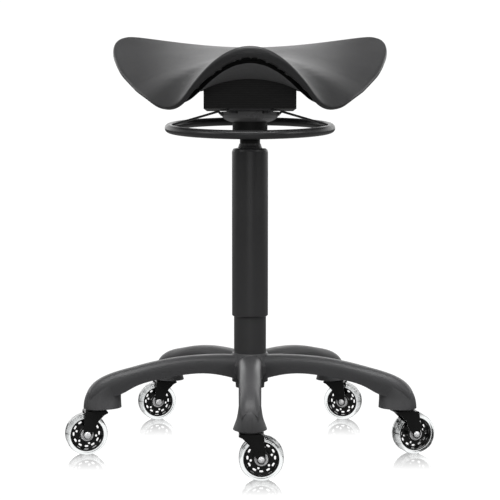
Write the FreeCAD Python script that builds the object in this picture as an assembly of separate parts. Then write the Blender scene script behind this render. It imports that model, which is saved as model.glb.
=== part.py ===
"""Saddle stool on a gas lift: five-leg castor base, ring lever and saddle seat.

Millimetres, +Z up. The origin is on the floor under the column. -Y is the front, where
the seat's narrow end points. The lift is at its lowest position.
"""
import FreeCAD, Part
import math
import os

V = FreeCAD.Vector
UP = V(0, 0, 1)
ORIGIN = V(0, 0, 0)

# Wheels and castors
WHEEL_R = 28.0
TREAD_W = 22.0
HUB_R = 22.5
HUB_W = 20.4
WEB_T = 3.0
BEARING_R = 8.5
BEARING_W = 5.0
AXLE_R = 3.0
RUN_GAP = 0.05
BODY_GAP = 0.3
TRAIL = 14.0
FORK_IN = 12.2
FORK_OUT = 15.0
FORK_TOP = 59.4
FORK_PLATE_Z = 57.2
STEM_R = 5.5
STEM_NECK_R = 5.0
STEM_TOP = 90.0
CASTOR_CIRCLE_R = 218.0

# Leg angles, and the way each wheel trails from its stem at rest
LEG_ANGLES = [-90.0, -18.0, 54.0, 126.0, 198.0]
TRAIL_ANGLES = [0.0, 13.0, -14.0, 194.0, 193.0]

# Star base: distance out, half width, top, underside
LEG_STATIONS = [
    (16.0, 18.0, 125.0, 92.0),
    (50.0, 16.6, 127.4, 101.0),
    (90.0, 15.2, 126.8, 104.0),
    (130.0, 14.7, 122.6, 99.5),
    (170.0, 14.5, 114.6, 89.5),
    (200.0, 14.2, 107.0, 78.0),
    (213.0, 13.6, 101.3, 76.0),
    (222.0, 12.4, 94.8, 74.0),
    (229.0, 10.2, 85.0, 72.0),
]
# Socket end of a leg: height, centre distance, half length, half width
SOCKET_STATIONS = [
    (62.5, 209.6, 25.8, 21.4),
    (67.0, 209.6, 25.6, 19.8),
    (74.0, 209.2, 24.9, 17.2),
    (83.0, 207.4, 23.4, 15.2),
    (92.0, 203.0, 20.0, 14.0),
    (99.0, 197.0, 14.0, 12.0),
]
LEG_WALL = 3.2
RIB_T = 2.4
RIB_DISTANCES = [66.0, 94.0, 122.0, 150.0]
HUB_TOP = 128.0
HUB_BOTTOM = 88.0
SOCKET_BOTTOM = 62.5

# Gas lift
TUBE_R = 25.0
TUBE_LOW_R = 22.3
TUBE_END_R = 20.0
TUBE_STEP_Z = 179.6
TUBE_TOP = 412.0
TUBE_BOTTOM = 79.6
CYL_R = 14.0
CYL_BORE_R = 12.5
CYL_BOTTOM = 105.0
CYL_TOP = 446.0
ROD_R = 5.0
LIFT = 200.0
BUTTON_R = 4.0
BUTTON_TOP = 449.5

# Ring lever
RING_R = 111.4
RING_TUBE_R = 6.0
RING_Z = 440.0
RING_TILT = 5.5
PIVOT_Y = -14.0
PIVOT_Z = 458.4
SHAFT_R = 2.4
SPOKE_R = 1.6
# Height of the bend near the top of each spoke
PEAK_Z = 461.8

# Seat mount
SOCKET_R = 24.15
SOCKET_LOW = 424.0
PLATE_Z = 462.0
PLATE_T = 2.5
PLATE_X = 64.0
PLATE_Y = 150.0
BLOCK_X = 124.0
BLOCK_FRONT = -60.0
BLOCK_BACK = 84.0
BOLT_SPOTS = [(-22.0, -46.0), (22.0, -46.0), (-22.0, 58.0), (22.0, 58.0)]
# Shell screws: place on the plan, and height of the shell's top there
SCREW_TOPS = {(-46.0, -40.0): 502.2, (46.0, -40.0): 502.2, (-46.0, 62.0): 508.9, (46.0, 62.0): 508.9}
SCREW_R = 2.2
SCREW_HEAD_R = 4.6

# Saddle outline seen from above, right half, front to back
OUTLINE = [
    (0.0, -157.0), (26.0, -153.0), (48.0, -141.5), (67.0, -126.0), (81.0, -112.5), (96.0, -99.0),
    (116.0, -80.0), (136.0, -57.0), (154.5, -20.0), (171.5, 20.0), (184.5, 50.0), (193.5, 80.0),
    (198.5, 105.0), (197.0, 127.0), (188.0, 143.0), (170.0, 154.0), (120.0, 163.0), (60.0, 170.0),
    (0.0, 172.0),
]
# Saddle rows: Y, crest height, fall and curl at 100 mm out, half width, thickness at the middle
# and at the edge
SADDLE_ROWS = [
    (-180.0, 543.4, 79.0, 0.0, 92.0, 14.0, 4.0),
    (-160.0, 541.8, 79.0, 0.0, 92.0, 15.0, 4.0),
    (-140.0, 540.2, 77.0, 2.0, 92.0, 16.5, 4.5),
    (-120.0, 539.0, 71.0, 14.0, 92.0, 18.5, 5.0),
    (-100.0, 538.2, 57.0, 26.0, 94.0, 21.5, 6.0),
    (-80.0, 537.7, 47.5, 10.0, 104.0, 25.5, 9.0),
    (-60.0, 537.6, 36.5, 1.5, 116.0, 29.7, 10.0),
    (-40.0, 537.9, 26.2, 0.0, 122.0, 33.5, 10.0),
    (-20.0, 538.7, 19.3, 0.0, 129.0, 36.5, 10.5),
    (0.0, 540.0, 16.0, 0.0, 138.0, 38.5, 11.0),
    (20.0, 541.9, 12.3, 0.0, 148.0, 39.5, 12.0),
    (40.0, 544.3, 8.7, 0.0, 159.0, 40.0, 13.0),
    (60.0, 547.2, 5.2, 0.0, 169.0, 40.0, 14.0),
    (80.0, 550.4, 2.9, 0.0, 179.0, 39.0, 15.0),
    (100.0, 553.5, 0.9, 0.0, 188.0, 37.0, 15.0),
    (120.0, 556.3, -1.6, 0.0, 192.0, 34.0, 15.0),
    (140.0, 558.7, -4.5, 0.0, 190.0, 29.0, 15.0),
    (160.0, 560.9, -7.1, 0.0, 180.0, 22.0, 15.0),
    (180.0, 563.0, -8.6, 0.0, 178.0, 15.0, 15.0),
    (200.0, 565.0, -9.6, 0.0, 178.0, 14.0, 14.0),
]
# Half the width of the sheets, and how fast it shrinks towards the front
HALF_SPAN = 216.0
SPAN_TAPER = 0.63
# Beyond this many times 100 mm out, the curl goes on at a steady slope
CURL_END = 1.2
ACROSS = 25
ALONG = 39
# The shell stands a little below the cushion's lip, and the cloth lies under the shell
SHELL_T = 6.0
SHELL_DROP = 3.5
SHELL_INSET = 16.0
COVER_T = 0.8
COVER_INSET = 17.5


def ring(points, centre=ORIGIN, axis=UP):
    """Solid of revolution about Z from (radius, height) corners, moved to centre and axis."""
    corners = [V(r, 0, z) for r, z in points]
    corners.append(corners[0])
    solid = Part.Face(Part.makePolygon(corners)).revolve(ORIGIN, UP, 360)
    return placed(solid, centre, axis)


def placed(solid, centre, axis):
    """Turn a solid's Z onto an axis and move its origin to a centre."""
    solid.Placement = FreeCAD.Placement(centre, FreeCAD.Rotation(UP, axis))
    return solid


def disc(radius, low, high, x=0.0, y=0.0):
    """Upright cylinder between two heights."""
    return Part.makeCylinder(radius, high - low, V(x, y, low))


def tube(outer, inner, low, high):
    """Upright pipe between two heights."""
    return disc(outer, low, high).cut(disc(inner, low - 1, high + 1))


def box(x0, x1, y0, y1, z0, z1):
    """Box from its limits on each axis."""
    return Part.makeBox(x1 - x0, y1 - y0, z1 - z0, V(x0, y0, z0))


def turned_about_z(shape, degrees, centre=ORIGIN):
    """Copy of a shape turned about a vertical line."""
    copy = shape.copy()
    copy.rotate(centre, UP, degrees)
    return copy


def export(name, solids):
    """Write one node, either one solid or a group of separate solids."""
    shape = solids if not isinstance(solids, list) else Part.makeCompound(solids)
    for solid in shape.Solids:
        assert solid.isValid() and solid.isClosed(), name
    shape.exportStep(os.path.join("parts", name + ".step"))


# ---------------------------------------------------------------- star base

def leg_section(distance, half, top, low):
    """Arched leg section across the leg: a flat bottom under a rounded top."""
    height = top - low
    arch = [
        (-half, low),
        (-half, low + 0.42 * height),
        (-0.88 * half, low + 0.76 * height),
        (-0.55 * half, low + 0.945 * height),
        (0.0, top),
        (0.55 * half, low + 0.945 * height),
        (0.88 * half, low + 0.76 * height),
        (half, low + 0.42 * height),
        (half, low),
    ]
    points = [V(distance, y, z) for y, z in arch]
    curve = Part.BSplineCurve()
    curve.interpolate(points)
    return Part.Wire([curve.toShape(), Part.makeLine(points[-1], points[0])])


def ellipse_wire(height, centre, half_length, half_width):
    """Level ellipse, long way out along the leg or across it."""
    middle = V(centre, 0, height)
    lengthways = V(centre + half_length, 0, height)
    sideways = V(centre, half_width, height)
    if half_length >= half_width:
        curve = Part.Ellipse(lengthways, sideways, middle)
    else:
        curve = Part.Ellipse(sideways, lengthways, middle)
    return Part.Wire([curve.toShape()])


def underside_at(distance):
    """Height of the leg's underside at a distance out."""
    for near, far in zip(LEG_STATIONS, LEG_STATIONS[1:]):
        if near[0] <= distance <= far[0]:
            share = (distance - near[0]) / (far[0] - near[0])
            return near[3] + share * (far[3] - near[3])
    return LEG_STATIONS[-1][3]


def make_leg():
    """One hollow, ribbed leg along +X with its castor socket."""
    outer = Part.makeLoft([leg_section(*s) for s in LEG_STATIONS], True, False)
    pocket_stations = [
        (distance, half - LEG_WALL, top - 1.2 * LEG_WALL, low - 3.0)
        for distance, half, top, low in LEG_STATIONS[1:5]
    ]
    pocket = Part.makeLoft([leg_section(*s) for s in pocket_stations], True, False)
    leg = outer.cut(pocket)
    for distance in RIB_DISTANCES:
        low = underside_at(distance) + 2.5
        rib = box(distance - RIB_T / 2, distance + RIB_T / 2, -30, 30, low, HUB_TOP)
        leg = leg.fuse(rib.common(pocket))
    socket = Part.makeLoft([ellipse_wire(*s) for s in SOCKET_STATIONS], True, False)
    return leg.fuse(socket)


def make_star_base():
    """Hub and five legs in one casting, bored for the tube and the castor stems."""
    hub = ring([
        (0, HUB_BOTTOM), (25, HUB_BOTTOM), (25, 95), (31, 97.4), (33.5, 102), (33.5, 112),
        (24.5, HUB_TOP), (0, HUB_TOP),
    ])
    hub.rotate(ORIGIN, UP, 11)
    leg = make_leg()
    hub = hub.multiFuse([turned_about_z(leg, angle) for angle in LEG_ANGLES])
    bore = ring([
        (0, HUB_BOTTOM - 10), (TUBE_END_R, HUB_BOTTOM - 10), (20.4, HUB_BOTTOM),
        (TUBE_LOW_R, HUB_TOP), (TUBE_LOW_R, HUB_TOP + 1), (0, HUB_TOP + 1),
    ])
    hub = hub.cut(bore)
    stem_hole = disc(STEM_R, SOCKET_BOTTOM - 1, STEM_TOP + 1, CASTOR_CIRCLE_R)
    for angle in LEG_ANGLES:
        hub = hub.cut(turned_about_z(stem_hole, angle))
    return hub.Solids[0]


# ---------------------------------------------------------------- castors

def stem_centre(angle):
    """Where a castor stem stands on the floor plan."""
    a = math.radians(angle)
    return V(CASTOR_CIRCLE_R * math.cos(a), CASTOR_CIRCLE_R * math.sin(a), 0)


def make_fork():
    """Two-plate fork, stem line at the origin, axle TRAIL ahead along +X."""
    outline = [
        (-14, FORK_TOP), (17, FORK_TOP), (18, 52), (19.3, WHEEL_R + 0.8),
        (TRAIL, WHEEL_R), (TRAIL - 5.2, WHEEL_R + 0.6), (5.2, 33.6), (-1.2, 46.7), (-9, 54.4), (-14, 56.8),
    ]
    corners = [V(x, -FORK_OUT, z) for x, z in outline]
    corners.append(corners[0])
    plate = Part.Face(Part.makePolygon(corners)).extrude(V(0, 2 * FORK_OUT, 0))
    boss = Part.makeCylinder(5.4, 2 * FORK_OUT, V(TRAIL, -FORK_OUT, WHEEL_R), V(0, 1, 0))
    body = plate.fuse(boss).removeSplitter()
    corners = [e for e in body.Edges if e.BoundBox.XLength < 0.01 and e.BoundBox.YLength > 20]
    top_corners = [e for e in corners if e.BoundBox.ZMin > FORK_TOP - 0.1]
    body = body.makeFillet(1.8, top_corners)
    throat = box(-40, 60, -FORK_IN, FORK_IN, -10, FORK_PLATE_Z)
    body = body.cut(throat)
    for side in (-1, 1):
        pad = Part.makeCylinder(4.6, FORK_IN - 10.55, V(TRAIL, side * FORK_IN, WHEEL_R), V(0, -side, 0))
        body = body.fuse(pad)
    axle_hole = Part.makeCylinder(AXLE_R, 60, V(TRAIL, -30, WHEEL_R), V(0, 1, 0))
    stem_hole = disc(STEM_NECK_R + RUN_GAP, 50, 70)
    return body.cut(axle_hole).cut(stem_hole).removeSplitter()


def make_axle():
    """Domed bolt through the fork and its domed nut."""
    bolt = ring([
        (0, -FORK_OUT - 2.4), (1.8, -FORK_OUT - 2.2), (3.2, -FORK_OUT - 1.5), (4.1, -FORK_OUT),
        (AXLE_R, -FORK_OUT), (AXLE_R, FORK_OUT + 2.0), (0, FORK_OUT + 2.0),
    ], V(TRAIL, 0, WHEEL_R), V(0, 1, 0))
    nut = ring([
        (AXLE_R, FORK_OUT), (4.6, FORK_OUT), (4.4, FORK_OUT + 1.6), (3.2, FORK_OUT + 2.6),
        (0, FORK_OUT + 3.0), (0, FORK_OUT + 2.0), (AXLE_R, FORK_OUT + 2.0),
    ], V(TRAIL, 0, WHEEL_R), V(0, 1, 0))
    return [bolt, nut]


def make_hub():
    """Wheel centre about its own axle along Z: rim, thin pierced web and bearing boss."""
    half = HUB_W / 2
    hub = ring([
        (4, -half + BEARING_W), (BEARING_R, -half + BEARING_W), (BEARING_R, -half), (10.4, -half),
        (10.8, -half + 0.4), (11.2, -WEB_T / 2), (19.6, -WEB_T / 2), (20.2, -half + 0.6),
        (20.8, -half), (HUB_R - 0.8, -half), (HUB_R, -half + 0.8), (HUB_R, half - 0.8),
        (HUB_R - 0.8, half), (20.8, half), (20.2, half - 0.6), (19.6, WEB_T / 2), (11.2, WEB_T / 2),
        (10.8, half - 0.4), (10.4, half), (BEARING_R, half), (BEARING_R, half - BEARING_W),
        (4, half - BEARING_W),
    ])
    slot = box(16.0, 18.4, -1.3, 1.3, -5, 5)
    for end in (-1.3, 1.3):
        slot = slot.fuse(Part.makeCylinder(1.2, 10, V(17.2, end, -5)))
    window = Part.makeCylinder(1.5, 10, V(13.6, 0, -5))
    for step in range(12):
        hub = hub.cut(turned_about_z(slot, 30 * step))
    for step in range(6):
        hub = hub.cut(turned_about_z(window, 60 * step + 15))
    return hub.Solids[0]


def make_tread():
    """Crowned tyre about its own axle along Z."""
    half = TREAD_W / 2
    shoulder = V(HUB_R + 1.8, 0, half)
    mid = V(WHEEL_R - 1.25, 0, half - 1.55)
    crown = V(WHEEL_R, 0, half - 5.0)
    low = [V(p.x, 0, -p.z) for p in (shoulder, mid, crown)]
    edges = [
        Part.makeLine(V(HUB_R, 0, -half), low[0]),
        Part.Arc(low[0], low[1], low[2]).toShape(),
        Part.makeLine(low[2], crown),
        Part.Arc(crown, mid, shoulder).toShape(),
        Part.makeLine(shoulder, V(HUB_R, 0, half)),
        Part.makeLine(V(HUB_R, 0, half), V(HUB_R, 0, -half)),
    ]
    return Part.Face(Part.Wire(edges)).revolve(ORIGIN, UP, 360)


def make_bearings():
    """Two shielded ball bearings about the axle along Z, each one solid ring."""
    outer = HUB_W / 2
    inner = outer - BEARING_W
    profile = [
        (AXLE_R + RUN_GAP, inner), (BEARING_R, inner), (BEARING_R, outer), (7.4, outer),
        (7.1, outer - 0.4), (4.9, outer - 0.4), (4.6, outer), (AXLE_R + RUN_GAP, outer),
    ]
    mirrored = [(r, -z) for r, z in reversed(profile)]
    return [ring(profile), ring(mirrored)]


def on_axle(solid):
    """Move a wheel piece from its own axis to the axle beside the stem line."""
    copy = solid.copy()
    copy.rotate(ORIGIN, V(1, 0, 0), 90)
    copy.translate(V(TRAIL, 0, WHEEL_R))
    return copy


def at_castor(solid, leg_angle, trail_angle):
    """Move a castor piece from the origin to its leg and turn it to its rest heading."""
    copy = turned_about_z(solid, trail_angle)
    copy.translate(stem_centre(leg_angle))
    return copy


def make_stem():
    """Castor stem: riveted head under the fork, neck, collar seat and ringed upper end."""
    return ring([
        (0, 55.8), (4.6, 55.8), (6.4, 56.3), (6.4, FORK_PLATE_Z - BODY_GAP),
        (STEM_NECK_R, FORK_PLATE_Z - BODY_GAP), (STEM_NECK_R, SOCKET_BOTTOM), (STEM_R, SOCKET_BOTTOM),
        (STEM_R, 82), (4.6, 82), (4.6, 86), (STEM_R, 86), (STEM_R, STEM_TOP - 1.5),
        (4.0, STEM_TOP), (0, STEM_TOP),
    ])


def make_collar():
    """Round bearing collar between the leg and the fork."""
    return ring([
        (STEM_NECK_R, FORK_TOP + BODY_GAP), (13.6, FORK_TOP + BODY_GAP), (14.8, FORK_TOP + 1.1),
        (14.8, SOCKET_BOTTOM - 0.6), (14.2, SOCKET_BOTTOM), (STEM_NECK_R, SOCKET_BOTTOM),
    ])


# ---------------------------------------------------------------- gas lift

def make_standpipe():
    """Outer tube, stepped and tapered into the hub, with a rolled top shoulder."""
    return ring([
        (TUBE_END_R, TUBE_BOTTOM), (20.4, HUB_BOTTOM), (TUBE_LOW_R, HUB_TOP), (TUBE_LOW_R, TUBE_STEP_Z - 1.2),
        (TUBE_R - 1.0, TUBE_STEP_Z), (TUBE_R, TUBE_STEP_Z + 1.0), (TUBE_R, TUBE_TOP - 5.0),
        (TUBE_R - 0.7, TUBE_TOP - 2.5), (TUBE_R - 2.5, TUBE_TOP - 0.7), (TUBE_R - 5.0, TUBE_TOP),
        (17.0, TUBE_TOP), (17.0, TUBE_TOP - 2.0), (23.0, TUBE_TOP - 3.0), (23.0, TUBE_STEP_Z + 3.0),
        (20.2, TUBE_STEP_Z - 1.0), (20.2, HUB_TOP), (18.2, TUBE_BOTTOM + 4), (18.2, TUBE_BOTTOM),
    ])


def make_guide_bush():
    """Plastic guide in the top of the tube, with the narrow neck that shows."""
    inner = CYL_R + RUN_GAP
    return ring([
        (inner, 328), (21.0, 328), (23.0, 331), (23.0, TUBE_TOP - 3.0), (17.0, TUBE_TOP - 2.0),
        (17.0, TUBE_TOP), (16.6, TUBE_TOP + 1.2), (15.6, TUBE_TOP + 3.4), (15.0, TUBE_TOP + 6.0),
        (inner, TUBE_TOP + 6.0),
    ])


def make_pressure_cylinder():
    """Sliding cylinder, closed at the top around the valve and tapered for the seat socket."""
    return ring([
        (CYL_BORE_R, CYL_BOTTOM), (CYL_R - 0.6, CYL_BOTTOM), (CYL_R, CYL_BOTTOM + 1), (CYL_R, 426),
        (13.4, CYL_TOP - 0.5), (12.9, CYL_TOP), (BUTTON_R + RUN_GAP, CYL_TOP), (BUTTON_R + RUN_GAP, 436),
        (CYL_BORE_R, 436),
    ])


def make_buffer():
    """Rubber buffer the cylinder comes down on."""
    return ring([
        (ROD_R, 90.5), (12.5, 90.5), (13.0, 93), (11.5, 97), (12.6, 101), (11.5, 104), (ROD_R, 104),
    ])


# ---------------------------------------------------------------- seat mount

def make_taper_socket():
    """Short tube that grips the cylinder's taper and houses the lever shaft."""
    body = ring([
        (CYL_R, SOCKET_LOW + 0.6), (CYL_R + 0.8, SOCKET_LOW), (SOCKET_R - 0.6, SOCKET_LOW),
        (SOCKET_R, SOCKET_LOW + 0.6), (SOCKET_R, PLATE_Z), (20.0, PLATE_Z), (20.0, CYL_TOP),
        (13.4, CYL_TOP - 0.5), (CYL_R, 426),
    ])
    hole = Part.makeCylinder(SHAFT_R + RUN_GAP, 80, V(-40, PIVOT_Y, PIVOT_Z), V(1, 0, 0))
    return body.cut(hole)


def make_dish():
    """Flared dish around the socket, with side holes for the lever shaft."""
    dish = ring([
        (SOCKET_R, 447.6), (26.0, 447.6), (31.0, 449.2), (36.0, 452.2), (39.6, 456.4), (41.5, 461.4),
        (39.6, 461.6), (37.9, 457.2), (34.8, 453.6), (30.4, 450.9), (26.0, 449.6), (SOCKET_R, 449.6),
    ])
    hole = Part.makeCylinder(SHAFT_R + 0.6, 100, V(-50, PIVOT_Y, PIVOT_Z), V(1, 0, 0))
    return dish.cut(hole)


def make_mounting_plate():
    """Flat steel plate welded on the socket, with its bolt holes."""
    plate = box(-PLATE_X / 2, PLATE_X / 2, -60.0, PLATE_Y - 72.0, PLATE_Z, PLATE_Z + PLATE_T)
    upright = [e for e in plate.Edges if e.BoundBox.ZLength > 1]
    plate = plate.makeFillet(6, upright)
    for x, y in BOLT_SPOTS:
        plate = plate.cut(disc(3.0, PLATE_Z - 1, PLATE_Z + 5, x, y))
    return plate


def make_bolts():
    """Four hex bolts up through the plate."""
    bolts = []
    for x, y in BOLT_SPOTS:
        corners = []
        for k in range(7):
            angle = k * math.pi / 3
            corners.append(V(x + 5.6 * math.cos(angle), y + 5.6 * math.sin(angle), PLATE_Z - 3.6))
        head = Part.Face(Part.makePolygon(corners)).extrude(V(0, 0, 3.6))
        bolts.append(head.fuse(disc(3.0, PLATE_Z, 490, x, y)).removeSplitter())
    return bolts


def make_tee_nuts():
    """Flanged nuts let into the block from above."""
    nuts = []
    for x, y in BOLT_SPOTS:
        nut = disc(4.2, 480, 490, x, y).fuse(disc(9.0, 490, 491.5, x, y))
        nuts.append(nut.cut(disc(3.0, 479, 495, x, y)).removeSplitter())
    return nuts


# ---------------------------------------------------------------- saddle

def outline_wire(inset, height):
    """Closed smooth outline of the seat, moved inward all round."""
    loop = OUTLINE + [(-x, y) for x, y in OUTLINE[-2:0:-1]]
    points = []
    for i, (x, y) in enumerate(loop):
        before = loop[i - 1]
        after = loop[(i + 1) % len(loop)]
        tangent = V(after[0] - before[0], after[1] - before[1], 0).normalize()
        points.append(V(x - inset * tangent.y, y + inset * tangent.x, height))
    curve = Part.BSplineCurve()
    curve.interpolate(points, PeriodicFlag=True)
    return Part.Wire([curve.toShape()])


def prism(inset):
    """Upright block with the seat's outline."""
    return Part.Face(outline_wire(inset, 380)).extrude(V(0, 0, 260))


def row_at(y):
    """Values of the saddle rows at a place along the seat, eased between the two nearest rows."""
    last = len(SADDLE_ROWS) - 1
    place = (y - SADDLE_ROWS[0][0]) / (SADDLE_ROWS[1][0] - SADDLE_ROWS[0][0])
    i = min(last - 1, int(place))
    t = place - i
    values = []
    for k in range(1, 7):
        here, there = SADDLE_ROWS[i][k], SADDLE_ROWS[i + 1][k]
        slope_here = (there - SADDLE_ROWS[max(0, i - 1)][k]) / 2
        slope_there = (SADDLE_ROWS[min(last, i + 2)][k] - here) / 2
        values.append(
            here * (2 * t ** 3 - 3 * t ** 2 + 1) + slope_here * (t ** 3 - 2 * t ** 2 + t)
            + there * (3 * t ** 2 - 2 * t ** 3) + slope_there * (t ** 3 - t ** 2)
        )
    return values


def saddle_sheet(share, raise_by):
    """Smooth sheet at the saddle's top, or a share of the thickness down from it, raised by a height."""
    grid = []
    for step in range(ALONG):
        y = SADDLE_ROWS[0][0] + step * (SADDLE_ROWS[-1][0] - SADDLE_ROWS[0][0]) / (ALONG - 1)
        crest, fall, curl, half, middle, edge = row_at(y)
        row = []
        span = HALF_SPAN - SPAN_TAPER * max(0.0, min(120.0, 40.0 - y))
        for j in range(ACROSS):
            x = span * (2 * j / (ACROSS - 1) - 1)
            s = abs(x) / 100
            curled = min(s, CURL_END) ** 4 + 4 * CURL_END ** 3 * max(0.0, s - CURL_END)
            t = min(1.0, abs(x) / half)
            depth = middle + (edge - middle) * t ** 4
            row.append(V(x, y, crest - fall * s ** 2 - curl * curled - share * depth + raise_by))
        grid.append(row)
    surface = Part.BSplineSurface()
    surface.interpolate(grid)
    return surface


def slab(upper, lower):
    """Closed solid between two sheets with upright sides."""
    faces = [upper.toShape(), lower.toShape()]
    u0, u1, v0, v1 = upper.bounds()
    s0, s1, t0, t1 = lower.bounds()
    borders = [
        (upper.uIso(u0), lower.uIso(s0)), (upper.uIso(u1), lower.uIso(s1)),
        (upper.vIso(v0), lower.vIso(t0)), (upper.vIso(v1), lower.vIso(t1)),
    ]
    for above, below in borders:
        faces.append(Part.makeRuledSurface(above.toShape(), below.toShape()))
    shell = Part.Shell(faces)
    shell.sewShape()
    solid = Part.Solid(Part.Shell(shell.Faces))
    if solid.Volume < 0:
        solid.reverse()
    return solid


def make_cushion():
    """Padded cover that wraps round the shell's edge, hollow below for the shell."""
    body = prism(0).common(slab(saddle_sheet(0, 0), saddle_sheet(1, 0)))
    cavity = prism(SHELL_INSET).common(slab(saddle_sheet(1, SHELL_T - SHELL_DROP), saddle_sheet(1, -30)))
    return body.cut(cavity).Solids[0]


def screw_wells(x, y):
    """Stepped hole for a shell screw and its head."""
    top = SCREW_TOPS[(x, y)]
    return disc(SCREW_R, top - 36, top - 3.4, x, y).fuse(disc(SCREW_HEAD_R, top - 3.4, 640, x, y))


def make_shell():
    """Moulded plywood shell under the padding, with its screw holes."""
    blank = prism(SHELL_INSET)
    for x, y in SCREW_TOPS:
        blank = blank.cut(screw_wells(x, y))
    sheets = slab(saddle_sheet(1, SHELL_T - SHELL_DROP), saddle_sheet(1, -SHELL_DROP))
    return blank.common(sheets).Solids[0]


def make_cover():
    """Dust cloth stapled under the shell, open where the screws pass."""
    blank = prism(COVER_INSET)
    for x, y in SCREW_TOPS:
        blank = blank.cut(disc(SCREW_R + 1, 400, 600, x, y))
    sheets = slab(saddle_sheet(1, -SHELL_DROP), saddle_sheet(1, -SHELL_DROP - COVER_T))
    return blank.common(sheets).Solids[0]


def make_block():
    """Black plywood block between the plate and the shell, hollowed on top to fit it."""
    block = box(-BLOCK_X / 2, BLOCK_X / 2, BLOCK_FRONT, BLOCK_BACK, PLATE_Z + PLATE_T, 545)
    return block.cut(slab(saddle_sheet(1, 90), saddle_sheet(1, -SHELL_DROP - COVER_T))).Solids[0]


# ---------------------------------------------------------------- assembly

os.makedirs("parts", exist_ok=True)

export("star_base", make_star_base())
export("standpipe", make_standpipe())
export("guide_bush", make_guide_bush())
export("tube_foot", tube(18.2, ROD_R + RUN_GAP, TUBE_BOTTOM, TUBE_BOTTOM + 3.4))
export("thrust_race_lower", tube(11.0, ROD_R + RUN_GAP, 83.0, 84.5))
balls = []
for k in range(10):
    angle = k * math.pi / 5
    balls.append(Part.makeSphere(1.4, V(8 * math.cos(angle), 8 * math.sin(angle), 85.9)))
export("thrust_balls", balls)
export("castor_stems", [at_castor(make_stem(), a, 0) for a in LEG_ANGLES])
export("grip_rings", [at_castor(tube(STEM_R, 4.6, 82, 86), a, 0) for a in LEG_ANGLES])
export("stem_collars", [at_castor(make_collar(), a, 0) for a in LEG_ANGLES])

export("piston_rod", disc(ROD_R, 74, 345))
export("piston", ring([
    (ROD_R, 335), (12.1, 335), (CYL_BORE_R - RUN_GAP, 336), (CYL_BORE_R - RUN_GAP, 347),
    (12.1, 348), (0, 348), (0, 345), (ROD_R, 345),
]))
export("rod_clip", tube(9.0, ROD_R, 77.6, 79.2))
export("thrust_race_upper", tube(11.0, ROD_R, 87.6, 90.5))
export("buffer", make_buffer())

export("pressure_cylinder", make_pressure_cylinder())
export("cylinder_guide", tube(CYL_BORE_R, ROD_R + RUN_GAP, CYL_BOTTOM, 119))
export("taper_socket", make_taper_socket())
export("release_dish", make_dish())
export("mounting_plate", make_mounting_plate())
export("plate_bolts", make_bolts())
export("tee_nuts", make_tee_nuts())

block = make_block()
for x, y in BOLT_SPOTS:
    block = block.cut(disc(3.0, 460, 480, x, y)).cut(disc(4.2, 480, 490, x, y)).cut(disc(9.0, 490, 560, x, y))
screws = []
for (x, y), top in SCREW_TOPS.items():
    head = disc(SCREW_HEAD_R, top - 3.4, top - 1.2, x, y)
    screws.append(disc(SCREW_R, top - 36, top - 3.4, x, y).fuse(head).removeSplitter())
    block = block.cut(disc(SCREW_R, top - 36, top, x, y))
export("riser_block", block)
export("seat_shell", make_shell())
export("dust_cover", make_cover())
export("shell_screws", screws)
export("cushion", make_cushion())

lever_ring = Part.makeTorus(RING_R, RING_TUBE_R)
lever_ring.rotate(ORIGIN, V(1, 0, 0), RING_TILT)
lever_ring.translate(V(0, 0, RING_Z))
spokes = []
for side in (-1, 1):
    inner = V(side * 40.0, PIVOT_Y, PIVOT_Z)
    peak = V(side * 43.2, PIVOT_Y, PEAK_Z)
    outer = V(side * (RING_R - 2), 0, RING_Z + 3)
    spoke = Part.makeCylinder(SPOKE_R, (outer - peak).Length, peak, outer - peak)
    spoke = spoke.fuse(Part.makeCylinder(SPOKE_R, (peak - inner).Length, inner, peak - inner))
    spokes.append(spoke.fuse(Part.makeSphere(SPOKE_R, peak)).cut(lever_ring))
shaft = Part.makeCylinder(SHAFT_R, 81, V(-40.5, PIVOT_Y, PIVOT_Z), V(1, 0, 0))
spokes = [spoke.cut(shaft) for spoke in spokes]
finger = box(-3.5, 3.5, PIVOT_Y - 3.5, 4.5, BUTTON_TOP + BODY_GAP, 453.5)
clamp = box(-3.5, 3.5, PIVOT_Y - 3.5, PIVOT_Y + 3.5, 453, PIVOT_Z + 2.9)
finger = finger.fuse(clamp).removeSplitter().cut(shaft)
export("lever_ring", lever_ring)
export("lever_spokes", spokes)
export("lever_shaft", shaft)
export("lever_finger", finger)
export("valve_button", ring([
    (0, 428), (BUTTON_R - 0.8, 428), (BUTTON_R, 429), (BUTTON_R, BUTTON_TOP - 0.6),
    (BUTTON_R - 0.6, BUTTON_TOP), (0, BUTTON_TOP),
]))

fork = make_fork()
axle = make_axle()
wheel_hub = on_axle(make_hub())
tread = on_axle(make_tread())
bearings = [on_axle(b) for b in make_bearings()]
for number, (leg_angle, trail_angle) in enumerate(zip(LEG_ANGLES, TRAIL_ANGLES), 1):
    export("fork_%d" % number, at_castor(fork, leg_angle, trail_angle))
    export("axle_%d" % number, [at_castor(s, leg_angle, trail_angle) for s in axle])
    export("wheel_hub_%d" % number, at_castor(wheel_hub, leg_angle, trail_angle))
    export("tread_%d" % number, at_castor(tread, leg_angle, trail_angle))
    export("bearings_%d" % number, [at_castor(s, leg_angle, trail_angle) for s in bearings])
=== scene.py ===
import math

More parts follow.
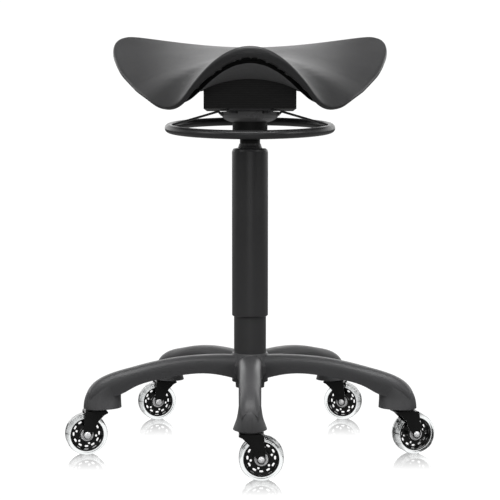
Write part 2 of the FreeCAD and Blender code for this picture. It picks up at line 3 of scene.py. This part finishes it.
import bpy
import numpy as np
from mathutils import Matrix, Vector


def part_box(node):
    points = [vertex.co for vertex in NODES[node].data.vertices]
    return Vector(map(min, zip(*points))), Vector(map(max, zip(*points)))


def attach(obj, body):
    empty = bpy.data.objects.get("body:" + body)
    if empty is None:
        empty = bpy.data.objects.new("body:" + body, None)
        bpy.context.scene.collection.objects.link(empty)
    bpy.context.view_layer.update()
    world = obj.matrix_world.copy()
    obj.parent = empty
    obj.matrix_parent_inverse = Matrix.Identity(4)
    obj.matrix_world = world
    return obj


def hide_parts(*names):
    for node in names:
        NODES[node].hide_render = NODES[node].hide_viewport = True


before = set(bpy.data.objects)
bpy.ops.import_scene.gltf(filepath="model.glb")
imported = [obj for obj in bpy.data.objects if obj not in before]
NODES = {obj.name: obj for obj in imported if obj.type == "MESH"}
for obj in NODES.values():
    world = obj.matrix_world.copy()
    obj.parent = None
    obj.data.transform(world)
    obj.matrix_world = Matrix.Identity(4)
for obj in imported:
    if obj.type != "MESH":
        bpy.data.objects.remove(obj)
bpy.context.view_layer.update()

scene = bpy.context.scene

# ------------------------------------------------------------------ shader helpers


def material(name, colour, roughness, gloss=0.5):
    """New node material with its constants on the shader: material, tree and Principled shader."""
    mat = bpy.data.materials.new(name)
    mat.use_nodes = True
    shader = mat.node_tree.nodes["Principled BSDF"]
    shader.inputs["Base Color"].default_value = (*colour, 1)
    shader.inputs["Roughness"].default_value = roughness
    shader.inputs["Specular IOR Level"].default_value = gloss
    return mat, mat.node_tree, shader


def add(tree, kind, **inputs):
    """Add a node and set its inputs by name."""
    node = tree.nodes.new(kind)
    for key, value in inputs.items():
        node.inputs[key.replace("_", " ")].default_value = value
    return node


def calculate(tree, operation, *values):
    """Maths node fed with sockets or numbers."""
    node = tree.nodes.new("ShaderNodeMath")
    node.operation = operation
    for slot, value in enumerate(values):
        if isinstance(value, (int, float)):
            node.inputs[slot].default_value = value
        else:
            tree.links.new(value, node.inputs[slot])
    return node.outputs[0]


def coordinates(tree):
    """Object coordinates, in metres."""
    return tree.nodes.new("ShaderNodeTexCoord").outputs["Object"]


def noise(tree, scale, detail=3.0, roughness=0.5, vector=None):
    """Noise value in object coordinates, or along a given vector."""
    node = add(tree, "ShaderNodeTexNoise", Scale=scale, Detail=detail, Roughness=roughness)
    tree.links.new(vector or coordinates(tree), node.inputs["Vector"])
    return node.outputs["Fac"]


def waves(tree, axis, scale, distortion, detail):
    """Bands across one axis."""
    node = add(tree, "ShaderNodeTexWave", Scale=scale, Distortion=distortion, Detail=detail)
    node.bands_direction = axis
    tree.links.new(coordinates(tree), node.inputs["Vector"])
    return node.outputs["Fac"]


def ramp(tree, value, low, high, out_low, out_high):
    """Map a value from one range to another, clamped."""
    node = tree.nodes.new("ShaderNodeMapRange")
    node.inputs["From Min"].default_value = low
    node.inputs["From Max"].default_value = high
    node.inputs["To Min"].default_value = out_low
    node.inputs["To Max"].default_value = out_high
    tree.links.new(value, node.inputs["Value"])
    return node.outputs["Result"]


def mix_colour(tree, value, first, second):
    """Blend two colours by a value."""
    node = tree.nodes.new("ShaderNodeMix")
    node.data_type = "RGBA"
    node.inputs["A"].default_value = (*first, 1)
    node.inputs["B"].default_value = (*second, 1)
    tree.links.new(value, node.inputs["Factor"])
    return node.outputs["Result"]


def bump(tree, shader, height, strength, distance):
    """Add a bump to the shader."""
    node = add(tree, "ShaderNodeBump", Strength=strength, Distance=distance)
    tree.links.new(height, node.inputs["Height"])
    tree.links.new(node.outputs["Normal"], shader.inputs["Normal"])


# ------------------------------------------------------------------ materials


def plain(name, colour, roughness, metallic=0.0, grain=900.0, spread=0.15, bump_size=0.00004,
          coat=0.0, rough_spread=0.08, gloss=0.5):
    """Solid finish with a little speckle in its colour, roughness and surface."""
    mat, tree, shader = material(name, colour, roughness, gloss)
    shader.inputs["Metallic"].default_value = metallic
    shader.inputs["Coat Weight"].default_value = coat
    speckle = noise(tree, grain, 4.0, 0.6)
    low = tuple(c * (1 - spread) for c in colour)
    high = tuple(min(1.0, c * (1 + spread)) for c in colour)
    tone = mix_colour(tree, ramp(tree, speckle, 0.3, 0.7, 0, 1), low, high)
    tree.links.new(tone, shader.inputs["Base Color"])
    broad = noise(tree, 35.0, 3.0, 0.6)
    rough = ramp(tree, broad, 0.3, 0.7, roughness - rough_spread, roughness + rough_spread)
    tree.links.new(rough, shader.inputs["Roughness"])
    bump(tree, shader, speckle, 0.35, bump_size)
    return mat


def leather():
    """Fine-grained satin leatherette."""
    mat, tree, shader = material("leatherette", (0.05, 0.05, 0.052), 0.46)
    cells = add(tree, "ShaderNodeTexVoronoi", Scale=950.0, Randomness=0.9)
    cells.feature = "DISTANCE_TO_EDGE"
    tree.links.new(coordinates(tree), cells.inputs["Vector"])
    grain = ramp(tree, cells.outputs["Distance"], 0.0, 0.28, 0.0, 1.0)
    surface = calculate(tree, "MULTIPLY_ADD", noise(tree, 2600.0, 2.0), 0.35, grain)
    broad = noise(tree, 14.0, 4.0, 0.55)
    where = ramp(tree, broad, 0.3, 0.7, 0, 1)
    tone = mix_colour(tree, where, (0.016, 0.016, 0.017), (0.023, 0.023, 0.024))
    shade = tree.nodes.new("ShaderNodeMix")
    shade.data_type = "RGBA"
    shade.blend_type = "MULTIPLY"
    shade.inputs["Factor"].default_value = 0.35
    tree.links.new(tone, shade.inputs["A"])
    tree.links.new(grain, shade.inputs["B"])
    tree.links.new(shade.outputs["Result"], shader.inputs["Base Color"])
    tree.links.new(ramp(tree, broad, 0.25, 0.75, 0.37, 0.45), shader.inputs["Roughness"])
    bump(tree, shader, surface, 0.30, 0.00012)
    return mat


def cloth():
    """Thin woven dust cloth."""
    mat, tree, shader = material("dust_cloth", (0.06, 0.06, 0.06), 0.8)
    weave = calculate(tree, "MAXIMUM", *(waves(tree, axis, 420.0, 0.6, 1.0) for axis in "XY"))
    tone = mix_colour(tree, weave, (0.10, 0.10, 0.102), (0.17, 0.17, 0.173))
    tree.links.new(tone, shader.inputs["Base Color"])
    tree.links.new(ramp(tree, noise(tree, 60.0), 0.3, 0.7, 0.72, 0.9), shader.inputs["Roughness"])
    bump(tree, shader, weave, 0.4, 0.0002)
    return mat


def plywood(name, light, dark, roughness, gloss):
    """Near-black plywood, plies level."""
    mat, tree, shader = material(name, light, roughness, gloss)
    plies = waves(tree, "Z", 105.0, 0.8, 2.0)
    stretch = add(tree, "ShaderNodeMapping")
    stretch.inputs["Scale"].default_value = (1.0, 1.0, 14.0)
    tree.links.new(coordinates(tree), stretch.inputs["Vector"])
    fibre = noise(tree, 120.0, 5.0, 0.6, stretch.outputs["Vector"])
    grain = calculate(tree, "MULTIPLY_ADD", fibre, 0.5, plies)
    tone = mix_colour(tree, ramp(tree, grain, 0.3, 1.2, 0, 1), dark, light)
    tree.links.new(tone, shader.inputs["Base Color"])
    rough = ramp(tree, fibre, 0.3, 0.7, roughness - 0.06, roughness + 0.08)
    tree.links.new(rough, shader.inputs["Roughness"])
    bump(tree, shader, grain, 0.3, 0.0002)
    return mat


def clear_plastic():
    """Clear, slightly grey tread."""
    mat, tree, shader = material("clear_tread", (0.86, 0.88, 0.88), 0.06)
    shader.inputs["IOR"].default_value = 1.35
    shader.inputs["Transmission Weight"].default_value = 1.0
    broad = noise(tree, 160.0, 3.0)
    where = ramp(tree, broad, 0.3, 0.7, 0, 1)
    tone = mix_colour(tree, where, (0.90, 0.92, 0.92), (0.96, 0.98, 0.98))
    tree.links.new(tone, shader.inputs["Base Color"])
    tree.links.new(ramp(tree, broad, 0.3, 0.7, 0.02, 0.06), shader.inputs["Roughness"])
    bump(tree, shader, broad, 0.05, 0.00003)
    return mat


MATS = {
    "base": plain("charcoal_nylon", (0.062, 0.062, 0.064), 0.42, grain=1400.0, spread=0.12,
                  bump_size=0.00006, rough_spread=0.03, gloss=0.28),
    "tube": plain("black_enamel", (0.042, 0.042, 0.043), 0.32, grain=1800.0, spread=0.1,
                  bump_size=0.00003, rough_spread=0.015),
    "dish": plain("grey_enamel", (0.115, 0.115, 0.117), 0.30, grain=1800.0, spread=0.1,
                  bump_size=0.00003),
    "column": plain("black_paint", (0.009, 0.009, 0.009), 0.5, grain=1800.0, spread=0.1,
                    bump_size=0.00003, gloss=0.25),
    "plate": plain("dark_steel", (0.05, 0.05, 0.052), 0.5, metallic=0.6, grain=1900.0, spread=0.12),
    "bush": plain("black_acetal", (0.03, 0.03, 0.031), 0.4, grain=1500.0),
    "ring": plain("ring_plastic", (0.024, 0.024, 0.025), 0.34, grain=1600.0, spread=0.1,
                  bump_size=0.00003),
    "fork": plain("fork_black", (0.005, 0.005, 0.005), 0.3, grain=1500.0, spread=0.1, gloss=0.35),
    "hub": plain("hub_black", (0.008, 0.008, 0.008), 0.18, grain=1500.0, spread=0.1,
                 bump_size=0.00002, coat=0.4),
    "rubber": plain("rubber", (0.02, 0.02, 0.02), 0.75, grain=1000.0),
    "steel": plain("steel", (0.55, 0.55, 0.56), 0.3, metallic=1.0, grain=2200.0, spread=0.08),
    "zinc": plain("bright_zinc", (0.93, 0.93, 0.94), 0.3, metallic=0.1, grain=2500.0, spread=0.03,
                  bump_size=0.00001, rough_spread=0.04),
    # Near-black, dull lining under the lip and over the foam: painted shade for the dark gap under the
    # rim
    "shade_lining": plain("shade_lining", (0.010, 0.010, 0.010), 0.9, grain=1500.0, gloss=0.1),
    "chrome": plain("chrome", (0.8, 0.8, 0.81), 0.12, metallic=1.0, grain=2500.0, spread=0.03,
                    bump_size=0.00001, rough_spread=0.04),
    "leather": leather(),
    "cloth": cloth(),
    # The riser block is black-stained plywood
    "block": plywood("black_plywood", (0.014, 0.0138, 0.0134), (0.007, 0.007, 0.007), 0.45, 0.3),
    # The seat shell is near black, so its edge shows as a dark band under the rim
    "shell": plywood("shell_plywood", (0.010, 0.010, 0.010), (0.004, 0.004, 0.004), 0.7, 0.1),
    "clear": clear_plastic(),
}

FINISH = {
    "star_base": "base", "standpipe": "tube", "guide_bush": "bush", "tube_foot": "steel",
    "thrust_race_lower": "steel", "thrust_balls": "chrome", "castor_stems": "chrome",
    "grip_rings": "steel", "stem_collars": "tube", "piston_rod": "steel", "piston": "steel",
    "rod_clip": "steel", "thrust_race_upper": "steel", "buffer": "rubber",
    "pressure_cylinder": "column", "cylinder_guide": "bush", "taper_socket": "column",
    "release_dish": "dish", "mounting_plate": "plate", "plate_bolts": "plate",
    "tee_nuts": "steel", "riser_block": "block", "seat_shell": "shell", "dust_cover": "cloth",
    "shell_screws": "steel", "cushion": "leather", "lever_ring": "ring", "lever_spokes": "tube",
    "lever_shaft": "tube", "lever_finger": "tube", "valve_button": "steel",
}
CASTORS = range(1, 6)
CASTOR_FINISH = {
    "fork": "fork", "axle": "zinc", "wheel_hub": "hub", "tread": "clear", "bearings": "zinc",
}
for number in CASTORS:
    for piece, finish in CASTOR_FINISH.items():
        FINISH["%s_%d" % (piece, number)] = finish

for name, node in NODES.items():
    node.data.materials.clear()
    node.data.materials.append(MATS[FINISH[name]])

# ------------------------------------------------------------------ rounded CAD edges

SHARP_ANGLE = math.radians(35)


def soften(name, width, segments):
    """Round a CAD node's sharp edges."""
    bevel = NODES[name].modifiers.new("rounding", "BEVEL")
    bevel.width = width
    bevel.segments = segments
    bevel.limit_method = "ANGLE"
    bevel.angle_limit = SHARP_ANGLE
    bevel.harden_normals = True


soften("riser_block", 0.0022, 3)
soften("mounting_plate", 0.0005, 2)
soften("plate_bolts", 0.0004, 2)
for number in CASTORS:
    soften("fork_%d" % number, 0.0007, 2)

# ------------------------------------------------------------------ saddle form, in millimetres

# Right half of the seat's outline from above, front to back
OUTLINE = [
    (0, -157), (26, -153), (48, -141.5), (67, -126), (81, -112.5), (96, -99), (116, -80),
    (136, -57), (154.5, -20), (171.5, 20), (184.5, 50), (193.5, 80), (198.5, 105), (197, 127),
    (188, 143), (170, 154), (120, 163), (60, 170), (0, 172),
]
# Y, crest height, fall and curl at 100 mm out, half width, depth at the middle and at the edge
ROWS = np.array([
    (-180, 543.4, 79, 0, 92, 14, 4), (-160, 541.8, 79, 0, 92, 15, 4),
    (-140, 540.2, 77, 2, 92, 16.5, 4.5), (-120, 539, 71, 14, 92, 18.5, 5),
    (-100, 538.2, 57, 26, 94, 21.5, 6), (-80, 537.7, 47.5, 10, 104, 25.5, 9),
    (-60, 537.6, 36.8, 1.2, 116, 29.7, 10), (-40, 537.9, 27.4, 0, 122, 33.5, 10),
    (-20, 538.7, 21, 0, 129, 36.5, 10.5), (0, 540, 16.2, 0, 138, 38.5, 11),
    (20, 541.9, 12.4, 0, 148, 39.5, 12), (40, 544.3, 8.7, 0, 159, 40, 13),
    (60, 547.2, 5.3, 0, 169, 40, 14), (80, 550.4, 2.9, 0, 179, 39, 15),
    (100, 553.5, 0.9, 0, 188, 37, 15), (120, 556.3, -1.6, 0, 192, 34, 15),
    (140, 558.7, -4.5, 0, 190, 29, 15), (160, 560.9, -7.1, 0, 180, 22, 15),
    (180, 563, -8.6, 0, 178, 15, 15), (200, 565, -9.6, 0, 178, 14, 14),
])
ROW_STEP = 20.0
# Beyond this many times 100 mm out, the curl goes on at a steady slope
CURL_END = 1.2
# How far the rows are eased along Y at the front, and how much further behind the flaps
EASE = 4
EASE_BEHIND = 15
# Where each fan of folds starts, beside the front arch
SHOULDER = (44, -128)
FOLD_HEIGHT = 0.19
DENT_HEIGHT = 0.10

# Points round each ring of the seat pieces, and the point that the rings shrink towards
COUNT = 720
CENTRE = np.array([0.0, 25.0])
TOP_RINGS = 90
# Above 1, the top's rings crowd towards the rim
CROWDING = 1.35
RIM_IN = 7.0
RIM_RINGS = 24
RIM_THINNEST = 7.5
RIM_THICKEST = 14.5
GATHERS = range(-5, 6)
GATHER_PITCH = 15.5
GATHER_DEPTH = 1.5
# The gathers are on the front of the rim, ahead of this Y
GATHER_BACK = -95
LIP = 13.0
LIP_RINGS = 8
LINING_RINGS = 4
FOAM_RINGS = 24
FOAM_GAP = 0.5
CLOTH_RINGS = 46
CLOTH_INSET = 17.8
CLOTH_DROP = 3.95
# Extra drop that clears the shell where the flaps are steep
FLAP_DROP = 1.9
SAG = 0.11
PULL = 0.14


def band(values, low, high):
    """Smooth 0 to 1 step."""
    t = np.clip((values - low) / (high - low), 0, 1)
    return t * t * (3 - 2 * t)


def row_curve(y):
    """Curve through the rows at each y: crest, fall, curl, half, middle, edge."""
    place = np.clip((np.asarray(y, float) - ROWS[0, 0]) / ROW_STEP, 0, len(ROWS) - 1.001)
    i = place.astype(int)
    t = (place - i)[..., None]
    rows = ROWS[:, 1:]
    a, b = rows[i], rows[i + 1]
    before, after = rows[np.maximum(i - 1, 0)], rows[np.minimum(i + 2, len(ROWS) - 1)]
    slope_a, slope_b = (b - before) / 2, (after - a) / 2
    return (a * (2 * t**3 - 3 * t**2 + 1) + slope_a * (t**3 - 2 * t**2 + t)
            + b * (3 * t**2 - 2 * t**3) + slope_b * (t**3 - t**2))


def smooth_rows(y):
    """The row curve with its bends eased, more so behind the flaps."""
    y = np.asarray(y, float)
    reach = EASE + EASE_BEHIND * band(y, -55, 5)
    return (row_curve(y - 2 * reach) + 2 * row_curve(y - reach) + 2 * row_curve(y)
            + 2 * row_curve(y + reach) + row_curve(y + 2 * reach)) / 8


def across(row, x):
    """Height along a row: a parabola that curls down further towards the flaps."""
    s = np.abs(x) / 100
    curled = np.minimum(s, CURL_END) ** 4 + 4 * CURL_END**3 * np.maximum(0.0, s - CURL_END)
    return row[..., 0] - row[..., 1] * s**2 - row[..., 2] * curled


def saddle_top(x, y):
    """Height of the saddle's top surface."""
    return across(smooth_rows(y), x)


def saddle_low(x, y):
    """Height of the underside."""
    row = row_curve(y)
    t = np.minimum(1.0, np.abs(x) / row[..., 3])
    return across(row, x) - (row[..., 4] + (row[..., 5] - row[..., 4]) * t**4)


def saddle_normal(x, y):
    """Unit normal of the top surface."""
    step = 0.5
    dx = (saddle_top(x + step, y) - saddle_top(x - step, y)) / (2 * step)
    dy = (saddle_top(x, y + step) - saddle_top(x, y - step)) / (2 * step)
    normal = np.stack([-dx, -dy, np.ones_like(dx)], -1)
    return normal / np.linalg.norm(normal, axis=-1, keepdims=True)


def outline_loop(count):
    """Points and outward normals spaced evenly round the seat, starting at the front."""
    loop = np.array(OUTLINE + [(-x, y) for x, y in OUTLINE[-2:0:-1]], float)
    n = len(loop)
    fine = []
    for k in range(n):
        p0, p1, p2, p3 = loop[k - 1], loop[k], loop[(k + 1) % n], loop[(k + 2) % n]
        for t in np.arange(0, 1, 1 / 60):
            bend = (2 * p0 - 5 * p1 + 4 * p2 - p3) * t * t + (3 * p1 - p0 - 3 * p2 + p3) * t**3
            fine.append(0.5 * (2 * p1 + (p2 - p0) * t + bend))
    fine = np.array(fine + [fine[0]])
    for _ in range(30):
        fine[:-1] = (np.roll(fine[:-1], 1, 0) + 2 * fine[:-1] + np.roll(fine[:-1], -1, 0)) / 4
        fine[-1] = fine[0]
    along = np.concatenate([[0], np.cumsum(np.linalg.norm(np.diff(fine, axis=0), axis=1))])
    s = np.linspace(0, along[-1], count, endpoint=False)
    points = np.stack([np.interp(s, along, fine[:, 0]), np.interp(s, along, fine[:, 1])], -1)
    tangent = np.roll(points, -1, 0) - np.roll(points, 1, 0)
    tangent /= np.linalg.norm(tangent, axis=1, keepdims=True)
    outward = np.stack([tangent[:, 1], -tangent[:, 0]], -1)
    return points, outward, s


def wrinkles(x, y):
    """Fine folds that fan out from each shoulder of the front arch, and shallow dents."""
    height = np.zeros_like(x)
    for side in (-1, 1):
        dx, dy = side * x - SHOULDER[0], y - SHOULDER[1]
        distance = np.hypot(dx, dy)
        angle = np.arctan2(dy, dx)
        near = band(distance, 10, 38) * (1 - band(distance, 70, 150))
        fan = band(angle, 0.1, 0.5) * (1 - band(angle, 1.35, 1.75))
        strands = np.sin(34 * angle + 0.5 * np.sin(distance / 13))
        strands = strands + 0.6 * np.sin(71 * angle + 1.2 * side + 0.8 * np.sin(distance / 21))
        height += FOLD_HEIGHT * near * fan * strands * (0.65 + 0.35 * np.sin(5.3 * angle + distance / 29))
    height += DENT_HEIGHT * np.sin(x / 31 + 1.3 * np.sin(y / 47)) * np.cos(y / 39 + 0.7)
    return height


# ------------------------------------------------------------------ seat pieces

loop, outward, arc = outline_loop(COUNT)


def shrunk(edge, share):
    """An edge drawn in towards the seat's centre, on the plan."""
    return CENTRE + (edge - CENTRE) * share


def lifted(flat, height):
    """Plan points with their heights."""
    return np.column_stack([flat, height])


def pole(height, lift=0.0):
    """The point on the centre line of the rings."""
    return np.array([CENTRE[0], CENTRE[1], height(CENTRE[0], CENTRE[1]) + lift])


def grid_faces(rows):
    """Quads between closed rings, in order. Vertex 0 is the pole, so the rings start at 1."""
    faces = []
    for r in range(rows - 1):
        a, b = 1 + r * COUNT, 1 + (r + 1) * COUNT
        faces += [(a + k, b + k, b + (k + 1) % COUNT, a + (k + 1) % COUNT) for k in range(COUNT)]
    return faces


def new_piece(name, vertices, faces, mat, body):
    """Smooth-shaded mesh piece that rides on a body. Vertices are in millimetres."""
    mesh = bpy.data.meshes.new(name)
    mesh.from_pydata([tuple(v / 1000 for v in p) for p in vertices], [], faces)
    mesh.validate()
    mesh.shade_smooth()
    obj = bpy.data.objects.new(name, mesh)
    scene.collection.objects.link(obj)
    mesh.materials.append(MATS[mat])
    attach(obj, body)
    return obj


def gathers():
    """How strongly the leather is gathered along the front band, from 0."""
    strength = np.zeros(COUNT)
    near_front = (loop[:, 1] < GATHER_BACK).astype(float)
    for k in GATHERS:
        middle = GATHER_PITCH * k + 3.2 * math.sin(2.7 * k + 0.6)
        width = 1.5 + 0.5 * math.sin(4.1 * k)
        bulk = 1.0 + 0.35 * math.sin(3.3 * k)
        strength += bulk * near_front * np.exp(-(((loop[:, 0] - middle) / width) ** 2))
    return strength


def cover_rings():
    """Rings of the leather from the crest, round the rim, under the lip and over the foam."""
    rim = loop - RIM_IN * outward
    rings = []
    for share in (1 - (1 - np.linspace(0, 1, TOP_RINGS)) ** CROWDING)[1:]:
        x, y = shrunk(rim, share).T
        rings.append(lifted(shrunk(rim, share), saddle_top(x, y) + wrinkles(x, y) * (1 - share**8)))
    x, y = rim.T
    normal = saddle_normal(x, y)
    out3 = np.column_stack([outward, np.zeros(COUNT)])
    out3 = out3 - normal * np.sum(out3 * normal, 1, keepdims=True)
    out3 /= np.linalg.norm(out3, axis=1, keepdims=True)
    depth = (saddle_top(x, y) - saddle_low(x, y)) * normal[:, 2]
    thick = np.clip(depth, RIM_THINNEST, RIM_THICKEST)[:, None]
    gather = gathers()[:, None]
    edge_top = rings[-1]
    for phi in np.linspace(0, math.pi, RIM_RINGS + 1)[1:]:
        bulge = abs(math.sin(phi)) ** 0.62
        sink = 0.5 * (1 - math.copysign(abs(math.cos(phi)) ** 0.72, math.cos(phi)))
        drop = GATHER_DEPTH * gather * band(np.full(COUNT, phi), 2.2, 3.0)[:, None]
        rings.append(edge_top + RIM_IN * bulge * out3 - normal * (thick * sink + drop))
    edge_low = rings[-1]
    pleat = 0.55 * np.sin(arc / 3.1) * np.sin(arc / 23.0)
    pleat = (pleat + 0.45 * np.sin(arc / 5.3 + 2 * np.sin(arc / 41.0)))[:, None]
    for step in np.linspace(0, 1, LIP_RINGS + 1)[1:]:
        inward = edge_low - out3 * (LIP - RIM_IN) * step
        rings.append(inward - normal * (0.5 * pleat * step**2) + normal * 0.6 * step**2)
    last = rings[-1]
    for step in np.linspace(0, 1, LINING_RINGS + 1)[1:]:
        rings.append(last - out3 * (1.8 * step + 0.9 * pleat * step) + normal * 4.5 * step)
    inner = rings[-1][:, :2] - outward * 1.5
    for share in np.linspace(1, 0.02, FOAM_RINGS):
        flat = shrunk(inner, share)
        rings.append(lifted(flat, saddle_low(flat[:, 0], flat[:, 1]) + FOAM_GAP))
    return rings


def make_seat_cover():
    """Leather skin over the moulded pad, closed by the pad's foam underside."""
    rings = cover_rings()
    vertices = [pole(saddle_top)] + [p for ring in rings for p in ring]
    foam_pole = len(vertices)
    vertices.append(pole(saddle_low, FOAM_GAP))
    faces = [(0, 1 + k, 1 + (k + 1) % COUNT) for k in range(COUNT)]
    faces += grid_faces(len(rings))
    first = foam_pole - COUNT
    faces += [(foam_pole, first + (k + 1) % COUNT, first + k) for k in range(COUNT)]
    cover = new_piece("seat_cover", vertices, faces, "leather", "seat")
    # The lip's inner half, its turned-up edge and the foam get the near-black lining: painted shade for
    # the gap under the rim
    cover.data.materials.append(MATS["shade_lining"])
    shade_lined_rows = LIP_RINGS // 2 + LINING_RINGS + 1 + FOAM_RINGS
    for face in cover.data.polygons[-shade_lined_rows * COUNT:]:
        face.material_index = 1
    return cover


def make_under_cloth():
    """Dust cloth: a thin panel that sags a little between its staples."""
    edge = loop - CLOTH_INSET * outward
    rings = []
    for share in np.linspace(0, 1, CLOTH_RINGS)[1:]:
        flat = shrunk(edge, share)
        x, y = flat.T
        held = np.full(COUNT, share)
        away = band(np.hypot(x, y - 12), 80, 120) * (1 - band(held, 0.9, 1.0))
        sag = SAG * np.sin(x / 13 + np.sin(y / 19)) * away
        pull = PULL * band(held, 0.85, 1.0) * np.sin(arc / 3.6)
        flap = band(np.abs(x), 40, 70) * (1 - band(y, 20, 90))
        rings.append(lifted(flat, saddle_low(x, y) - CLOTH_DROP - FLAP_DROP * flap + sag + pull))
    turned_up = np.column_stack([0.3 * outward, np.full(COUNT, 0.35)])
    rings.append(rings[-1] + turned_up)
    vertices = [pole(saddle_low, -CLOTH_DROP)] + [p for ring in rings for p in ring]
    faces = [(0, 1 + (k + 1) % COUNT, 1 + k) for k in range(COUNT)]
    faces += [tuple(reversed(face)) for face in grid_faces(len(rings))]
    return new_piece("under_cloth", vertices, faces, "cloth", "seat")


seat_cover = make_seat_cover()
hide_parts("cushion")

under_cloth = make_under_cloth()
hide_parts("dust_cover")

# ------------------------------------------------------------------ stage, light, camera

FLOOR_HALF = 40
FLOOR_GLOW = 1.07
MOST_GLOSS = 0.66
WORLD_WHITE = 1.05
ROOM_LIGHT = 0.32
WHITE = (1, 1, 1, 1)
# Camera: focal length in millimetres, place in metres, and degrees below level
LENS = 100.8
EYE = (0.0, -1.937, 0.4153)
LOOK_DOWN = 4.266


def gloss_patches(tree):
    """How strongly the floor mirrors: a short patch in front of each wheel, fading forwards."""
    place = tree.nodes.new("ShaderNodeSeparateXYZ")
    tree.links.new(coordinates(tree), place.inputs["Vector"])
    patches = None
    for number in CASTORS:
        low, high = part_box("tread_%d" % number)
        wheel_x, wheel_y = (low[0] + high[0]) / 2, (low[1] + high[1]) / 2
        reach = 0.115 + 0.13 * wheel_y
        ahead = ramp(tree, place.outputs["Y"], wheel_y - reach, wheel_y - 0.005, 0.0, MOST_GLOSS)
        past = ramp(tree, place.outputs["Y"], wheel_y, wheel_y + 0.03, 1.0, 0.0)
        aside = calculate(tree, "ABSOLUTE", calculate(tree, "SUBTRACT", place.outputs["X"], wheel_x))
        near = calculate(tree, "MULTIPLY", ramp(tree, aside, 0.033, 0.048, 1.0, 0.0), past)
        patch = calculate(tree, "MULTIPLY", ahead, near)
        patches = patch if patches is None else calculate(tree, "MAXIMUM", patches, patch)
    return patches


def make_floor():
    """White floor that glows by itself and mirrors only just in front of the wheels."""
    corners = [(-1, -1), (1, -1), (1, 1), (-1, 1)]
    mesh = bpy.data.meshes.new("floor")
    mesh.from_pydata([(FLOOR_HALF * x, FLOOR_HALF * y, 0) for x, y in corners], [], [(0, 1, 2, 3)])
    floor = bpy.data.objects.new("floor", mesh)
    scene.collection.objects.link(floor)
    mat = bpy.data.materials.new("white_gloss_floor")
    mat.use_nodes = True
    tree = mat.node_tree
    tree.nodes.remove(tree.nodes["Principled BSDF"])
    glow = add(tree, "ShaderNodeEmission", Color=WHITE, Strength=FLOOR_GLOW)
    mirror = add(tree, "ShaderNodeBsdfGlossy", Color=WHITE, Roughness=0.06)
    blend = tree.nodes.new("ShaderNodeMixShader")
    tree.links.new(gloss_patches(tree), blend.inputs["Fac"])
    tree.links.new(glow.outputs["Emission"], blend.inputs[1])
    tree.links.new(mirror.outputs["BSDF"], blend.inputs[2])
    tree.links.new(blend.outputs["Shader"], tree.nodes["Material Output"].inputs["Surface"])
    floor.data.materials.append(mat)
    floor.visible_diffuse = False
    floor.visible_glossy = False
    floor.visible_transmission = False


def make_world():
    """White to the eye and behind clear parts; for light and gloss, a softly lit studio."""
    world = bpy.data.worlds.new("studio")
    world.use_nodes = True
    tree = world.node_tree
    white = tree.nodes["Background"]
    white.inputs["Color"].default_value = WHITE
    soft = tree.nodes.new("ShaderNodeBackground")
    split = tree.nodes.new("ShaderNodeSeparateXYZ")
    direction = tree.nodes.new("ShaderNodeTexCoord")
    tree.links.new(direction.outputs["Generated"], split.inputs["Vector"])
    back, up = split.outputs["Y"], split.outputs["Z"]
    path = tree.nodes.new("ShaderNodeLightPath")
    dull, glossy = path.outputs["Is Diffuse Ray"], path.outputs["Is Glossy Ray"]
    through = path.outputs["Is Transmission Ray"]
    # Gloss sees a bright wall behind, low down, and a pale floor
    wall = ramp(tree, back, -0.1, 0.95, 0.15, 2.3)
    over = ramp(tree, up, -0.02, 0.03, 0.0, 1.0)
    under = ramp(tree, up, 0.36, 0.62, 1.0, 0.0)
    wall = calculate(tree, "MULTIPLY", calculate(tree, "MULTIPLY", over, under), wall)
    wall = calculate(tree, "MULTIPLY", wall, glossy)
    ground = calculate(tree, "MULTIPLY", ramp(tree, up, -0.5, 0.0, 0.5, 0.0), glossy)
    # Dull surfaces are filled evenly by the white room
    room = calculate(tree, "MULTIPLY", dull, ROOM_LIGHT)
    strength = ramp(tree, up, 0.0, 0.9, 0.10, 0.45)
    for source in (wall, ground, room):
        strength = calculate(tree, "MAXIMUM", strength, source)
    tree.links.new(strength, soft.inputs["Strength"])
    # Clear parts see white behind and dark at the sides
    darker = calculate(tree, "MULTIPLY", through, ramp(tree, back, 0.45, 0.8, 0.85, 0.0))
    tree.links.new(calculate(tree, "SUBTRACT", WORLD_WHITE, darker), white.inputs["Strength"])
    lit = calculate(tree, "MAXIMUM", dull, calculate(tree, "SUBTRACT", glossy, through))
    choose = tree.nodes.new("ShaderNodeMixShader")
    tree.links.new(lit, choose.inputs["Fac"])
    tree.links.new(white.outputs["Background"], choose.inputs[1])
    tree.links.new(soft.outputs["Background"], choose.inputs[2])
    tree.links.new(choose.outputs["Shader"], tree.nodes["World Output"].inputs["Surface"])
    scene.world = world


def area(name, place, target, size, power):
    """Soft square light aimed at a point."""
    light = bpy.data.lights.new(name, "AREA")
    light.size = size
    light.energy = power
    lamp = bpy.data.objects.new(name, light)
    lamp.location = place
    lamp.rotation_mode = "QUATERNION"
    lamp.rotation_quaternion = (Vector(target) - Vector(place)).to_track_quat("-Z", "Y")
    scene.collection.objects.link(lamp)


make_floor()
make_world()
scene.view_settings.view_transform = "Standard"
area("key", (-2.2, -1.3, 1.6), (0, 0, 0.35), 1.2, 11)
area("fill", (2.2, -1.3, 1.5), (0, 0, 0.35), 1.2, 11)
area("top", (0, -0.6, 2.5), (0, 0, 0.3), 1.8, 64)
area("front", (0, -3.2, 0.9), (0, 0, 0.35), 1.6, 6)

eye = bpy.data.cameras.new("eye")
eye.sensor_width = 36.0
eye.lens = LENS
camera = bpy.data.objects.new("eye", eye)
camera.location = EYE
camera.rotation_euler = (math.radians(90.0 - LOOK_DOWN), 0, 0)
scene.collection.objects.link(camera)
scene.camera = camera
